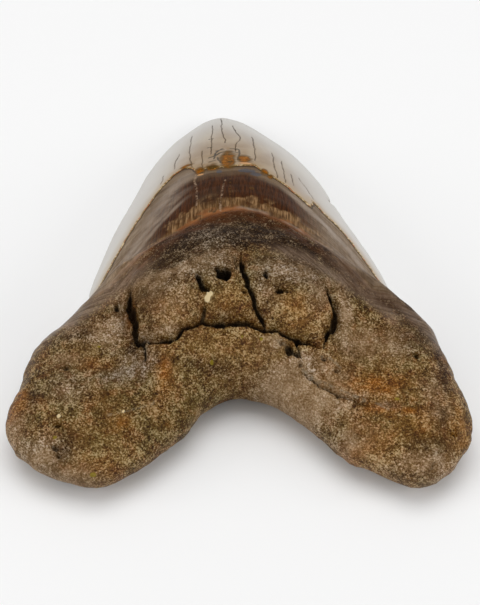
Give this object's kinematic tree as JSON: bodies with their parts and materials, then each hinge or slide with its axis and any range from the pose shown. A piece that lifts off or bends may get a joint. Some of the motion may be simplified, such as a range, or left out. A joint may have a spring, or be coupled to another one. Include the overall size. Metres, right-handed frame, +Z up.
{
  "type": "fossil megalodon tooth",
  "caption": "Fossil megalodon tooth lying on its flat face: a thick, cracked, lobed brown root and a broad triangular crown with pale polished enamel past a dark brown band.",
  "frame": {"origin": "middle of the tooth's bounding box in plan, on the surface that it lies on", "axes": "+Y from the root lobes to the crown tip, +X across the root, +Z up out of the convex inner face"},
  "size_m": [0.108, 0.132, 0.0298],
  "materials": {
    "fossil": "polished grey and dark brown enamel on the crown, satin grainy brown bone on the root"
  },
  "bodies": {
    "root": {"tooth": "fossil"}
  },
  "joints": []
}
